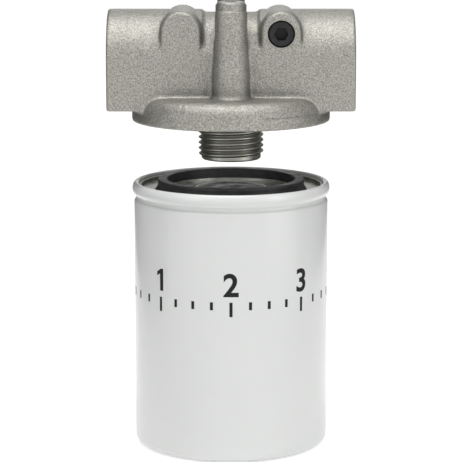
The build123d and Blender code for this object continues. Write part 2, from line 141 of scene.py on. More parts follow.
def lathe(name, outline):
    """A piece turned about the Z axis from a closed outline of (radius, height) points."""
    shape = bmesh.new()
    revolve_into(shape, outline)
    return mesh_object(name, shape)


def shade(piece, angle=35):
    """Smooth shading with sharp edges kept above an angle."""
    for face in piece.data.polygons:
        face.use_smooth = True
    bpy.context.view_layer.objects.active = piece
    for other in bpy.context.selected_objects:
        other.select_set(False)
    piece.select_set(True)
    bpy.ops.object.shade_smooth_by_angle(angle=math.radians(angle))
    piece.select_set(False)


def prism(shape, near, far):
    """A closed solid between two loops of as many points."""
    near_verts = [shape.verts.new(point) for point in near]
    far_verts = [shape.verts.new(point) for point in far]
    count = len(near)
    for index in range(count):
        after = (index + 1) % count
        shape.faces.new((near_verts[index], near_verts[after], far_verts[after], far_verts[index]))
    shape.faces.new(near_verts[::-1])
    shape.faces.new(far_verts)


def sweep(name, rings):
    """A closed solid through rings of points, capped at both ends."""
    shape = bmesh.new()
    previous = None
    for points in rings:
        ring = [shape.verts.new(point) for point in points]
        if previous:
            for index in range(len(ring)):
                after = (index + 1) % len(ring)
                shape.faces.new((previous[index], previous[after], ring[after], ring[index]))
        else:
            shape.faces.new(ring[::-1])
        previous = ring
    shape.faces.new(previous)
    return mesh_object(name, shape)


def apply_modifiers(piece):
    """The piece's mesh becomes what its modifiers make of it."""
    graph = bpy.context.evaluated_depsgraph_get()
    mesh = bpy.data.meshes.new_from_object(piece.evaluated_get(graph))
    piece.modifiers.clear()
    piece.data = mesh


def finish_piece(piece, material, body):
    """Material, body and slot of a piece."""
    piece.data.materials.clear()
    piece.data.materials.append(material)
    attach(piece, body)


# ---------------------------------------------------------------- materials


def make_material(name, colour, metallic, roughness):
    """A node material with its shader; uniform numbers sit on the shader's own sockets."""
    material = bpy.data.materials.new(name)
    material.use_nodes = True
    shader = material.node_tree.nodes["Principled BSDF"]
    shader.inputs["Base Color"].default_value = (*colour, 1)
    shader.inputs["Metallic"].default_value = metallic
    shader.inputs["Roughness"].default_value = roughness
    return material


def noise(material, scale, detail=4.0, roughness=0.55, stretch=(1, 1, 1)):
    """A noise texture in the object's own space, metres."""
    nodes, links = material.node_tree.nodes, material.node_tree.links
    place = nodes.new("ShaderNodeTexCoord")
    mapping = nodes.new("ShaderNodeMapping")
    mapping.inputs["Scale"].default_value = stretch
    texture = nodes.new("ShaderNodeTexNoise")
    texture.inputs["Scale"].default_value = scale
    texture.inputs["Detail"].default_value = detail
    texture.inputs["Roughness"].default_value = roughness
    links.new(place.outputs["Object"], mapping.inputs["Vector"])
    links.new(mapping.outputs["Vector"], texture.inputs["Vector"])
    return texture.outputs["Fac"]


def vary_colour(material, field, dark, light, low=0.35, high=0.65):
    """Base colour between two tones, by a field."""
    nodes, links = material.node_tree.nodes, material.node_tree.links
    ramp = nodes.new("ShaderNodeValToRGB")
    ramp.color_ramp.elements[0].position = low
    ramp.color_ramp.elements[0].color = (*dark, 1)
    ramp.color_ramp.elements[1].position = high
    ramp.color_ramp.elements[1].color = (*light, 1)
    links.new(field, ramp.inputs["Fac"])
    links.new(ramp.outputs["Color"], nodes["Principled BSDF"].inputs["Base Color"])


def darken_corners(material, reach, floor_level, closed=0.35, opened=0.95):
    """Painted shade in a surface's corners, from ambient occlusion: its colour falls to floor_level where
    they are closed.
    """
    nodes, links = material.node_tree.nodes, material.node_tree.links
    shader = nodes["Principled BSDF"]
    colour = shader.inputs["Base Color"].links[0].from_socket
    corners = nodes.new("ShaderNodeAmbientOcclusion")
    corners.samples = 8
    corners.inputs["Distance"].default_value = reach
    level = nodes.new("ShaderNodeMapRange")
    level.inputs["From Min"].default_value = closed
    level.inputs["From Max"].default_value = opened
    level.inputs["To Min"].default_value = floor_level
    level.inputs["To Max"].default_value = 1.0
    mixed = nodes.new("ShaderNodeMix")
    mixed.data_type = "RGBA"
    mixed.blend_type = "MULTIPLY"
    mixed.inputs["Factor"].default_value = 1.0
    links.new(corners.outputs["AO"], level.inputs["Value"])
    links.new(colour, mixed.inputs["A"])
    links.new(level.outputs["Result"], mixed.inputs["B"])
    links.new(mixed.outputs["Result"], shader.inputs["Base Color"])


def vary_roughness(material, field, low, high):
    """Roughness between two values, by a field."""
    nodes, links = material.node_tree.nodes, material.node_tree.links
    spread = nodes.new("ShaderNodeMapRange")
    spread.inputs["From Min"].default_value = 0.3
    spread.inputs["From Max"].default_value = 0.7
    spread.inputs["To Min"].default_value = low
    spread.inputs["To Max"].default_value = high
    links.new(field, spread.inputs["Value"])
    links.new(spread.outputs["Result"], nodes["Principled BSDF"].inputs["Roughness"])


def add_bump(material, fields, depth, strength=1.0):
    """Bump from one or more fields, each with its share."""
    nodes, links = material.node_tree.nodes, material.node_tree.links
    total = None
    for field, share in fields:
        scaled = nodes.new("ShaderNodeMath")
        scaled.operation = "MULTIPLY"
        scaled.inputs[1].default_value = share
        links.new(field, scaled.inputs[0])
        if total is None:
            total = scaled.outputs[0]
            continue
        joined = nodes.new("ShaderNodeMath")
        joined.operation = "ADD"
        links.new(total, joined.inputs[0])
        links.new(scaled.outputs[0], joined.inputs[1])
        total = joined.outputs[0]
    bump = nodes.new("ShaderNodeBump")
    bump.inputs["Distance"].default_value = depth
    bump.inputs["Strength"].default_value = strength
    links.new(total, bump.inputs["Height"])
    links.new(bump.outputs["Normal"], nodes["Principled BSDF"].inputs["Normal"])


def cast_aluminium():
    """Die-cast skin: fine sandy grain, slight mottling, dull metallic, and painted shade in its corners."""
    material = make_material("cast_aluminium", (0.32, 0.31, 0.28), 0.8, 0.48)
    grain = noise(material, 2600, detail=3, roughness=0.6)
    speckle = noise(material, 1700, detail=4, roughness=0.75)
    mottle = noise(material, 90, detail=4)
    dimples = noise(material, 420, detail=2, roughness=0.5)
    vary_colour(material, speckle, (0.125, 0.122, 0.106), (0.43, 0.42, 0.382), 0.33, 0.67)
    # Painted shade: the colour falls to 0.3 in corners and creases within 5 mm.
    darken_corners(material, 5 * MM, 0.3)
    vary_roughness(material, mottle, 0.36, 0.5)
    add_bump(material, ((grain, 0.6), (speckle, 0.9), (dimples, 0.9), (mottle, 1.2)), 0.0002)
    return material


def machined_aluminium():
    """Turned surface: fine rings about the Z axis and an oily olive tint."""
    material = make_material("machined_aluminium", (0.29, 0.29, 0.255), 0.9, 0.38)
    rings = noise(material, 400, detail=3, stretch=(0.3, 0.3, 8))
    fine = noise(material, 1500, detail=3)
    vary_colour(material, rings, (0.23, 0.23, 0.2), (0.37, 0.37, 0.33))
    vary_roughness(material, fine, 0.26, 0.42)
    add_bump(material, ((rings, 1.0), (fine, 0.3)), 0.00005)
    return material


def cut_thread():
    """The turned surface again, with painted shade held between the threads."""
    material = machined_aluminium()
    material.name = "cut_thread"
    # Painted shade: the colour darkens between the threads.
    darken_corners(material, 1.8 * MM, 0.85)
    return material


def steel(name, dark, light, rough):
    """Pressed or turned steel with drawing marks."""
    material = make_material(name, light, 0.95, rough)
    marks = noise(material, 260, detail=5, stretch=(1, 1, 6))
    fine = noise(material, 1800, detail=2)
    vary_colour(material, marks, dark, light)
    vary_roughness(material, marks, rough - 0.08, rough + 0.1)
    add_bump(material, ((marks, 0.6), (fine, 0.5)), 0.00004)
    return material


def white_paint():
    """Satin gloss powder paint with faint orange peel."""
    material = make_material("white_paint", (0.72, 0.73, 0.72), 0.0, 0.3)
    peel = noise(material, 420, detail=2, roughness=0.4)
    wave = noise(material, 45, detail=2)
    vary_colour(material, wave, (0.71, 0.72, 0.713), (0.73, 0.74, 0.728), 0.2, 0.8)
    vary_roughness(material, wave, 0.28, 0.32)
    add_bump(material, ((peel, 1.0), (wave, 0.4)), 0.00003)
    shader = material.node_tree.nodes["Principled BSDF"]
    shader.inputs["Specular IOR Level"].default_value = 0.4
    shader.inputs["Coat Weight"].default_value = 0.3
    shader.inputs["Coat Roughness"].default_value = 0.1
    return material


def black_rubber():
    """Moulded nitrile rubber, slightly dusty."""
    material = make_material("black_rubber", (0.022, 0.022, 0.024), 0.0, 0.55)
    dust = noise(material, 160, detail=5)
    grain = noise(material, 1400, detail=3)
    vary_colour(material, dust, (0.014, 0.014, 0.016), (0.045, 0.045, 0.047))
    vary_roughness(material, dust, 0.42, 0.66)
    add_bump(material, ((grain, 1.0), (dust, 0.5)), 0.00004)
    return material


def black_oxide():
    """Black oxide on a steel plug."""
    material = make_material("black_oxide", (0.01, 0.01, 0.011), 0.4, 0.45)
    wear = noise(material, 700, detail=5)
    vary_colour(material, wear, (0.006, 0.006, 0.007), (0.022, 0.022, 0.024), 0.4, 0.8)
    vary_roughness(material, wear, 0.4, 0.58)
    add_bump(material, ((wear, 1.0),), 0.00005)
    return material


def filter_paper():
    """Resin-treated paper with fibres."""
    material = make_material("filter_paper", (0.78, 0.70, 0.52), 0.0, 0.9)
    fibres = noise(material, 500, detail=6, roughness=0.7, stretch=(1, 1, 0.3))
    vary_colour(material, fibres, (0.66, 0.58, 0.40), (0.84, 0.77, 0.60))
    vary_roughness(material, fibres, 0.82, 0.95)
    add_bump(material, ((fibres, 1.0),), 0.0001)
    return material


def print_ink():
    """Flat screen-printed ink."""
    material = make_material("print_ink", (0.012, 0.012, 0.014), 0.0, 0.5)
    film = noise(material, 1200, detail=3)
    vary_colour(material, film, (0.008, 0.008, 0.010), (0.018, 0.018, 0.02))
    vary_roughness(material, film, 0.42, 0.58)
    material.node_tree.nodes["Principled BSDF"].inputs["Specular IOR Level"].default_value = 0.15
    return material


MATERIALS = {
    "cast": cast_aluminium(),
    "machined": machined_aluminium(),
    "thread": cut_thread(),
    "plate": steel("plate_steel", (0.42, 0.43, 0.42), (0.68, 0.69, 0.68), 0.36),
    "lid": steel("lid_steel", (0.30, 0.30, 0.275), (0.50, 0.50, 0.465), 0.4),
    "spring": steel("spring_steel", (0.25, 0.26, 0.28), (0.45, 0.46, 0.48), 0.3),
    "paint": white_paint(),
    "rubber": black_rubber(),
    "plug": black_oxide(),
    "paper": filter_paper(),
    "ink": print_ink(),
}


# ---------------------------------------------------------------- head casting

BARREL_HALF_DEPTH = 19.5 * MM
BARREL_FLOOR = 5.4 * MM
WAIST_HALF_WIDTH = 10.2 * MM
WAIST_DRAFT = 0.9 * MM
WAIST_STEP = 1.1 * MM
WAIST_FADE_START = 9
WAIST_FADE_END = 32
PAD_X = (plug_low[0] + plug_high[0]) / 2
PAD_HALF_WIDTH = 7.75 * MM
PAD_CROWN = 43.6 * MM
PAD_EDGE = 1.1 * MM
FLANGE_HEIGHT = 10.5 * MM
FLANGE_SHOULDER = 5.7 * MM
FLANGE_EDGE = 0.3 * MM
POST_FOOT_RADIUS = 7.1 * MM
POST_FILLET = (0.8 * MM, 1.4 * MM)
POST_RADIUS = 6.2 * MM
POST_NECK_RADIUS = 5.45 * MM
POST_NECK_LENGTH = 3.4 * MM
POST_TOP_EDGE = 0.5 * MM
POST_SHOULDER = 0.8 * MM
POST_STOCK = 1.5 * MM
POST_FLARE = (20 * MM, 30 * MM)
PARTING_HEIGHT = 4.6 * MM
PARTING_PROUD = 0.16 * MM
PARTING_BURIED = 0.4 * MM
PARTING_WIDTH = 0.6 * MM
PARTING_ANGLES = (-74, -24)
PARTING_STEPS = 60
THREAD_PITCH = 25.4 / 12 * MM
THREAD_RADIUS = 12.7 * MM
THREAD_DEPTH = 1.15 * MM
THREAD_BURIED = 0.35
THREAD_STEPS = 96
PORT_DEPTH = 18 * MM
PORT_COUNTERSINK = 1.2 * MM
PASSAGE_RADIUS = 10 * MM
VALVE_SEAT_X = 9.2 * MM
DIVIDING_WALL = 5 * MM
BYPASS_HOLE_RADIUS = 5 * MM
RING_GROOVE = (-16.1 * MM, -15 * MM)
RING_GROOVE_DEPTH = 0.9 * MM
GALLERY_RADII = (14.2 * MM, 24.4 * MM)
GALLERY_HEIGHT = 6.5 * MM
INLET_DROP_HALF_ANGLE = 42
STUB_BORE_RADIUS = 8.5 * MM
MOUNT_HOLE_DEPTH = 18 * MM
GAUGE_DEPTH = 8 * MM
GAUGE_DRILL_RADIUS = 3.4 * MM
ROUND_STEPS = 96
# The countersink's own count of steps keeps its edge off the bore's, which the booleans need.
COUNTERSINK_STEPS = 112
CLEAR = 1 * MM
VOXEL = 0.62 * MM
CAST_SMOOTHING = 5


def fade(value, start, end):
    """0 before start, 1 after end, and a smooth rise between."""
    share = max(0.0, min(1.0, (value - start) / (end - start)))
    return share * share * (3 - 2 * share)


def arch_loop(x, step):
    """The barrel's section; a step lowers its crown and fades out down its flanks."""
    foot = seal_z + BARREL_FLOOR
    loop = [(x, -BARREL_HALF_DEPTH, foot), (x, BARREL_HALF_DEPTH, foot)]
    for degrees in range(0, 181, 3):
        angle = math.radians(degrees)
        above = min(degrees, 180 - degrees)
        radius = BARREL_HALF_DEPTH - step * fade(above, WAIST_FADE_START, WAIST_FADE_END)
        loop.append((x, radius * math.cos(angle), port_z + radius * math.sin(angle)))
    return loop


def pad_loop(x, y, inset):
    """The gauge pad's section: straight sides and a half-round top."""
    half_width = PAD_HALF_WIDTH - inset
    loop = [(x - half_width, y, port_z), (x + half_width, y, port_z)]
    shoulder = seal_z + PAD_CROWN - PAD_HALF_WIDTH
    for across, z in arc_points((x, shoulder), half_width, 0, 180, 32):
        loop.append((across, y, z))
    return loop


def add_pad(shape, x):
    """A gauge pad through the barrel, with its front and rear edges rounded off."""
    face = BARREL_HALF_DEPTH
    prism(shape, pad_loop(x, PAD_EDGE - face, 0), pad_loop(x, face - PAD_EDGE, 0))
    for side in (-1, 1):
        prism(
            shape,
            pad_loop(x, side * (face - PAD_EDGE), 0),
            pad_loop(x, side * face, PAD_EDGE * 0.8),
        )


def cast_body():
    """The outside of the casting: its forms joined by a remesh and softened as a casting is."""
    shape = bmesh.new()
    barrel_start = WAIST_HALF_WIDTH + WAIST_DRAFT
    prism(shape, arch_loop(-WAIST_HALF_WIDTH, WAIST_STEP), arch_loop(WAIST_HALF_WIDTH, WAIST_STEP))
    for side in (-1, 1):
        start = arch_loop(side * barrel_start, 0)
        prism(shape, arch_loop(side * WAIST_HALF_WIDTH, WAIST_STEP), start)
        prism(shape, start, arch_loop(side * head_end, 0))
        add_pad(shape, side * PAD_X)
    flange_top = seal_z + FLANGE_HEIGHT
    shoulder_centre = (flange_radius - FLANGE_SHOULDER, flange_top - FLANGE_SHOULDER)
    flange = [(0, seal_z), (flange_radius - FLANGE_EDGE, seal_z), (flange_radius, seal_z + FLANGE_EDGE)]
    flange += arc_points(shoulder_centre, FLANGE_SHOULDER, 0, 90, 16)
    revolve_into(shape, flange + [(0, flange_top)])
    post_low = seal_z + BARREL_FLOOR
    fillet_radius = POST_FOOT_RADIUS + POST_FILLET[0]
    post = [(0, post_low), (fillet_radius, post_low), (fillet_radius, flange_top - FLANGE_EDGE)]
    post += [(POST_FOOT_RADIUS, flange_top + POST_FILLET[1])]
    post += [(POST_FOOT_RADIUS, seal_z + POST_FLARE[0]), (POST_RADIUS, seal_z + POST_FLARE[1])]
    post += [(POST_RADIUS, POST_STOCK), (0, POST_STOCK)]
    for y in (-post_y, post_y):
        revolve_into(shape, post, (0, y), ROUND_STEPS)
    body = mesh_object("cast_head", shape)
    remesh = body.modifiers.new("join", "REMESH")
    remesh.mode = "VOXEL"
    remesh.voxel_size = VOXEL
    soften = body.modifiers.new("soften", "SMOOTH")
    soften.factor = 0.5
    soften.iterations = CAST_SMOOTHING
    apply_modifiers(body)
    return body


def cylinder_into(shape, start, end, radius, segments=ROUND_STEPS, end_radius=None):
    """A closed cylinder or cone between two points."""
    axis = Vector(end) - Vector(start)
    turn = axis.to_track_quat("Z", "Y").to_matrix()
    radii = (radius, radius if end_radius is None else end_radius)
    loops = []
    for centre, size in zip((Vector(start), Vector(end)), radii):
        loop = []
        for step in range(segments):
            angle = 2 * math.pi * step / segments
            offset = turn @ Vector((size * math.cos(angle), size * math.sin(angle), 0))
            loop.append(centre + offset)
        loops.append(loop)
    prism(shape, loops[0], loops[1])


def cut(body, name, build):
    """Cuts a shape, made by a function, out of a piece."""
    shape = bmesh.new()
    build(shape)
    tool = mesh_object(name, shape)
    modifier = body.modifiers.new(name, "BOOLEAN")
    modifier.operation = "DIFFERENCE"
    modifier.solver = "EXACT"
    modifier.object = tool
    apply_modifiers(body)
    bpy.data.objects.remove(tool)


def sector_tool(shape, inner, outer, half_angle, low, high):
    """A ring sector about +X, as a cutter."""
    loops = []
    for height in (low, high):
        loop = []
        for across, along in arc_points((0, 0), outer, -half_angle, half_angle, 32):
            loop.append((across, along, height))
        for across, along in arc_points((0, 0), inner, half_angle, -half_angle, 32):
            loop.append((across, along, height))
        loops.append(loop)
    prism(shape, loops[0], loops[1])


def along_port(shape, start_x, end_x, radius, segments=ROUND_STEPS, end_radius=None):
    """A round cutter on the ports' axis."""
    cylinder_into(shape, (start_x, 0, port_z), (end_x, 0, port_z), radius, segments, end_radius)


def cut_ports(body):
    """Tapped ports with countersunk mouths, the passages behind them, and the bypass hole between."""
    beyond = head_end + CLEAR
    for side, passage_end in ((-1, VALVE_SEAT_X), (1, VALVE_SEAT_X + DIVIDING_WALL)):
        bore_end = side * (head_end - PORT_DEPTH)
        mouth_radius = port_radius + PORT_COUNTERSINK
        cut(body, "countersink", lambda shape: along_port(
            shape, side * (head_end + 0.2 * MM), side * (head_end - PORT_COUNTERSINK),
            mouth_radius + 0.2 * MM, COUNTERSINK_STEPS, port_radius))
        cut(body, "port_bore", lambda shape: along_port(
            shape, side * beyond, bore_end, port_radius + 0.01 * MM))
        cut(body, "passage", lambda shape: along_port(
            shape, bore_end + side * CLEAR, passage_end, PASSAGE_RADIUS))
    cut(body, "bypass_hole", lambda shape: along_port(
        shape, VALVE_SEAT_X - CLEAR, VALVE_SEAT_X + DIVIDING_WALL + CLEAR, BYPASS_HOLE_RADIUS))
    cut(body, "ring_groove", lambda shape: along_port(
        shape, RING_GROOVE[0], RING_GROOVE[1], PASSAGE_RADIUS + RING_GROOVE_DEPTH))


def cut_gallery(body):
    """The outlet up the stub, and the ring-shaped gallery that the inlet drops into."""
    low = seal_z - CLEAR
    high = seal_z + GALLERY_HEIGHT
    inner, outer = GALLERY_RADII
    section = [(inner, low), (outer, low), (outer, high), (inner, high)]
    cut(body, "gallery", lambda shape: revolve_into(shape, section))
    cut(body, "inlet_drop", lambda shape: sector_tool(
        shape, inner, outer, INLET_DROP_HALF_ANGLE, low, port_z))
    cut(body, "outlet_rise", lambda shape: cylinder_into(
        shape, (0, 0, low), (0, 0, port_z), STUB_BORE_RADIUS))


def cut_post_tops(body):
    """The posts' machined tops, turned necks and mounting holes."""
    neck, neck_foot = POST_NECK_RADIUS, -POST_NECK_LENGTH
    outside = POST_RADIUS + 2 * CLEAR
    top = [(0, 0), (neck - POST_TOP_EDGE, 0), (neck, -POST_TOP_EDGE)]
    top += [(neck, neck_foot + 0.3 * MM), (neck + 0.12 * MM, neck_foot)]
    top += [(POST_RADIUS - 0.15 * MM, neck_foot - 0.3 * MM), (POST_RADIUS, neck_foot - POST_SHOULDER)]
    top += [(outside, neck_foot - POST_SHOULDER - 0.2 * MM), (outside, 2 * CLEAR), (0, 2 * CLEAR)]
    for y in (-post_y, post_y):
        cut(body, "post_top", lambda shape: revolve_into(shape, top, (0, y), ROUND_STEPS))
        cut(body, "mount_hole", lambda shape: cylinder_into(
            shape, (0, y, CLEAR), (0, y, -MOUNT_HOLE_DEPTH), mount_hole_radius, 48))


def cast_head():
    """The head casting with its machined ports, passages, gallery and holes."""
    body = cast_body()
    cut_ports(body)
    cut_gallery(body)
    cut_post_tops(body)
    gauge_z = (plug_low[2] + plug_high[2]) / 2
    gauge_radius = (plug_high[0] - plug_low[0]) / 2 + 0.05 * MM
    face = -BARREL_HALF_DEPTH
    cut(body, "gauge_seat", lambda shape: cylinder_into(
        shape, (PAD_X, face - CLEAR, gauge_z), (PAD_X, face + GAUGE_DEPTH, gauge_z), gauge_radius))
    cut(body, "gauge_drill", lambda shape: cylinder_into(
        shape, (PAD_X, face, gauge_z), (PAD_X, 0, gauge_z), GAUGE_DRILL_RADIUS, 48))
    return body


def is_machined(centre):
    """Whether a point of the head lies on a machined surface."""
    from_port = math.hypot(centre.y, centre.z - port_z)
    if from_port < port_radius + PORT_COUNTERSINK and abs(centre.x) > VALVE_SEAT_X - 0.2 * MM:
        return True
    if centre.z < seal_z + 0.15 * MM:
        return True
    if centre.z < port_z and math.hypot(centre.x, centre.y) < STUB_BORE_RADIUS + 0.1 * MM:
        return True
    if centre.z > -0.2 * MM:
        return True
    return math.hypot(centre.x, abs(centre.y) - post_y) < mount_hole_radius + 0.05 * MM


def dress_head():
    """The cast head's materials, face by face."""
    head = cast_head()
    head.data.materials.clear()
    head.data.materials.append(MATERIALS["cast"])
    head.data.materials.append(MATERIALS["machined"])
    for face in head.data.polygons:
        face.material_index = 1 if is_machined(face.center) else 0
    shade(head, 40)
    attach(head, "head")
    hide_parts("head_casting")


def dress_parting_line():
    """What is left of the die's flash along the front right of the flange's rim."""
    height = seal_z + PARTING_HEIGHT
    start, end = PARTING_ANGLES
    rings = []
    for step in range(PARTING_STEPS + 1):
        share = step / PARTING_STEPS
        angle = math.radians(start + (end - start) * share)
        run_out = min(1.0, 8 * share, 8 * (1 - share))
        proud = PARTING_PROUD * run_out + 0.005 * MM
        foot_low, foot_high = (-PARTING_BURIED, -PARTING_WIDTH / 2), (-PARTING_BURIED, PARTING_WIDTH / 2)
        section = (foot_low, (proud, -0.05 * MM), (proud, 0.08 * MM), foot_high)
        rings.append([at_angle(flange_radius + out, angle, height + rise) for out, rise in section])
    line = sweep("parting_line", rings)
    shade(line, 30)
    finish_piece(line, MATERIALS["cast"], "head")


# ---------------------------------------------------------------- threads

PORT_THREAD_PITCH = 1.814 * MM
PORT_THREAD_DEPTH = 0.75 * MM
PORT_THREAD_LENGTH = 13.6 * MM
PORT_THREAD_START = 15.5 * MM
HOLE_THREAD_PITCH = 1.27 * MM
HOLE_THREAD_DEPTH = 0.35 * MM
HOLE_THREAD_LENGTH = 12.6 * MM
HOLE_THREAD_START = -13.5 * MM
HUB_THREAD_LENGTH = 10.2 * MM


def thread(name, root, crest, pitch, start_z, length, run_out, foot=0.48, top=0.07):
    """A right-hand thread ridge about the Z axis that runs out at both ends.

    foot and top are the ridge's half widths at its root and its crest, in pitches.
    """
    half = pitch * foot
    flat = pitch * top
    buried = root - (crest - root) * THREAD_BURIED
    rings = []
    for step in range(int(length / pitch * THREAD_STEPS) + 1):
        turns = step / THREAD_STEPS
        z = start_z + turns * pitch
        ends = min(z - start_z, start_z + length - z) / run_out
        peak = root + (crest - root) * max(0.02, min(1.0, ends)) ** 0.5
        section = ((buried, -half), (root, -half), (peak, -flat), (peak, flat), (root, half), (buried, half))
        rings.append([at_angle(radius, 2 * math.pi * turns, z + rise) for radius, rise in section])
    return sweep(name, rings)


def turn_onto_port(piece, side):
    """Moves a thread made about the origin's Z axis onto a port's axis."""
    turn = Matrix.Rotation(math.radians(90 * side), 4, "Y")
    piece.data.transform(Matrix.Translation((0, 0, port_z)) @ turn)


def finish_thread(piece, material, body):
    """A thread's shading, with its edges kept, and its material, body and slot."""
    shade(piece, 25)
    finish_piece(piece, MATERIALS[material], body)


def dress_threads():
    """The stub with its thread, the hub's thread, and the threads in the ports and the post holes."""
    root = THREAD_RADIUS - THREAD_DEPTH
    bore, high, low = STUB_BORE_RADIUS, seal_z + 1.5 * MM, seal_z - STUB_LENGTH
    chamfer = 0.5 * MM
    outside = [(bore, high), (root, high), (root, low + chamfer), (root - chamfer, low)]
    stub = lathe("stub_core", outside + [(bore + chamfer, low), (bore, low + chamfer)])
    shade(stub)
    finish_piece(stub, MATERIALS["thread"], "head")
    start = low + 1.1 * MM
    ridge = thread(
        "stub_thread", root, THREAD_RADIUS, THREAD_PITCH,
        start, length=STUB_LENGTH - 2.6 * MM, run_out=1.3 * MM)
    finish_thread(ridge, "thread", "head")
    for side, name in ((1, "inlet_thread"), (-1, "outlet_thread")):
        port = thread(
            name, port_radius, port_radius - PORT_THREAD_DEPTH, PORT_THREAD_PITCH,
            head_end - PORT_THREAD_START, PORT_THREAD_LENGTH, run_out=1.2 * MM)
        turn_onto_port(port, side)
        finish_thread(port, "machined", "head")
    for side, name in ((-1, "front_hole_thread"), (1, "rear_hole_thread")):
        hole = thread(
            name, mount_hole_radius, mount_hole_radius - HOLE_THREAD_DEPTH, HOLE_THREAD_PITCH,
            HOLE_THREAD_START, HOLE_THREAD_LENGTH, run_out=1.0 * MM)
        hole.data.transform(Matrix.Translation((0, side * post_y, 0)))
        finish_thread(hole, "machined", "head")
    # The hub's ridge starts a whole number and a half of pitches below the stub's, so the two mesh.
    pitches = math.floor((start - plate_low[2]) / THREAD_PITCH) - 0.5
    hub = thread(
        "hub_thread", THREAD_RADIUS + 0.1 * MM, root + 0.12 * MM, THREAD_PITCH,
        start - pitches * THREAD_PITCH, HUB_THREAD_LENGTH, run_out=1.0 * MM, foot=0.36, top=0.05)
    finish_thread(hub, "plate", "can")


# ---------------------------------------------------------------- can

CAN_RADIUS = 38.0 * MM
SHEET = 0.8 * MM
CAN_NECK_STEP = 0.9 * MM
CAN_SHOULDER_ROUND = 1.5 * MM
CAN_CORNER = 3.0 * MM
CAN_FOOT_WIDTH = 5.4 * MM
CAN_PANEL_RISE = 1.5 * MM
ROLL_HEIGHT = 5.0 * MM
ROLL_ROUND = 1.4 * MM
GASKET_FOOT_RADIUS = 29.45 * MM
GASKET_TOP_RADIUS = 28.75 * MM
GASKET_INNER_RADIUS = 24.95 * MM
LID_LEVEL = 4.2 * MM
LID_GROOVE_DEPTH = 1.5 * MM
LID_LIP_LEVEL = 3.4 * MM


def dress_can():
    """The painted shell with its rolled rim, turned finely."""
    wall, radius, corner, rise = SHEET, CAN_RADIUS, CAN_CORNER, CAN_PANEL_RISE
    neck = radius - CAN_NECK_STEP
    roll_top = can_high[2]
    roll_low = roll_top - ROLL_HEIGHT
    roll_inner = roll_radius - 2 * ROLL_ROUND
    floor_z = can_low[2]
    foot_inner = radius - corner - CAN_FOOT_WIDTH
    outline = [(roll_inner, roll_low + wall)]
    outline += arc_points((roll_inner + ROLL_ROUND, roll_top - ROLL_ROUND), ROLL_ROUND, 180, 90, 10)
    bead_middle = (roll_top + roll_low) / 2
    for across, up in arc_points((0, 0), 1.0, 84, -78, 24):
        outline.append((roll_radius - ROLL_ROUND * (1 - across), bead_middle + ROLL_HEIGHT / 2 * up))
    outline += [(neck, roll_low - 0.35 * MM), (neck, roll_low - 1.1 * MM)]
    shoulder_z = roll_low - 1.4 * MM - CAN_SHOULDER_ROUND
    outline += arc_points((radius - CAN_SHOULDER_ROUND, shoulder_z), CAN_SHOULDER_ROUND, 66, 0, 8)
    outline += [(radius, roll_low - 30 * MM), (radius, roll_low - 60 * MM)]
    outline += arc_points((radius - corner, floor_z + corner), corner, 0, -90, 14)
    outline += [(foot_inner + 0.5 * MM, floor_z)]
    outline += [(foot_inner - 0.2 * MM, floor_z + 0.25 * MM), (foot_inner - rise, floor_z + rise - 0.2 * MM)]
    outline += [(foot_inner - rise - 0.6 * MM, floor_z + rise), (0, floor_z + rise)]
    outline += [(0, floor_z + rise + wall), (foot_inner - rise + wall / 2, floor_z + rise + wall)]
    outline += [(foot_inner + wall / 2, floor_z + wall)]
    outline += arc_points((radius - corner, floor_z + corner), corner - wall, -90, 0, 10)
    outline += [(radius - wall, roll_low - 2.2 * MM), (neck - wall, roll_low)]
    shell = lathe("painted_shell", outline)
    shade(shell, 50)
    finish_piece(shell, MATERIALS["paint"], "can")
    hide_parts("can_shell")


def dress_gasket():
    """The rubber ring with rounded edges and a waisted side."""
    top = gasket_top_z
    foot, crown, inner = GASKET_FOOT_RADIUS, GASKET_TOP_RADIUS, GASKET_INNER_RADIUS
    edge = 0.55 * MM
    outline = [(foot, gasket_low[2]), (foot, top - 3.9 * MM)]
    outline += [(foot - 0.35 * MM, top - 3.3 * MM), (crown - 0.2 * MM, top - 2.2 * MM)]
    outline += [(crown - 0.05 * MM, top - 1.3 * MM)]
    outline += arc_points((crown - edge, top - edge), edge, 0, 90, 8)
    outline += arc_points((inner + edge, top - edge), edge, 90, 180, 8)
    outline += [(inner, gasket_low[2])]
    ring = lathe("rubber_gasket", outline)
    shade(ring, 50)
    finish_piece(ring, MATERIALS["rubber"], "can")
    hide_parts("sealing_gasket")


def dress_lid():
    """The pressed lid with small bend radii and a rounded retainer lip."""
    top = gasket_top_z
    thick = SHEET
    roll_inner = lid_high[0]
    groove_outer = GASKET_FOOT_RADIUS + 0.15 * MM
    groove_inner = GASKET_INNER_RADIUS - 0.15 * MM
    level = top - LID_LEVEL
    groove = level - LID_GROOVE_DEPTH
    lip = top - LID_LIP_LEVEL
    bend = 0.7 * MM
    outline = arc_points((roll_inner - thick / 2, lid_high[2] - thick / 2), thick / 2, 0, 180, 8)
    outline += arc_points((roll_inner - thick - bend, level + bend), bend, 0, -90, 6)
    outline += arc_points((groove_outer + 0.3 * MM, level - 0.3 * MM), 0.3 * MM, 90, 180, 4)
    outline += [(groove_outer, groove), (groove_inner, groove)]
    outline += arc_points((groove_inner - thick / 2, lip - thick / 2), thick / 2, 0, 180, 8)
    outline += [(groove_inner - thick, lid_low[2]), (groove_outer + thick, lid_low[2])]
    outline += [(groove_outer + thick, level - thick), (roll_inner, level - thick)]
    lid = lathe("pressed_lid", outline)
    shade(lid, 45)
    finish_piece(lid, MATERIALS["lid"], "can")
    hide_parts("seam_lid")


# ---------------------------------------------------------------- numbers on the can

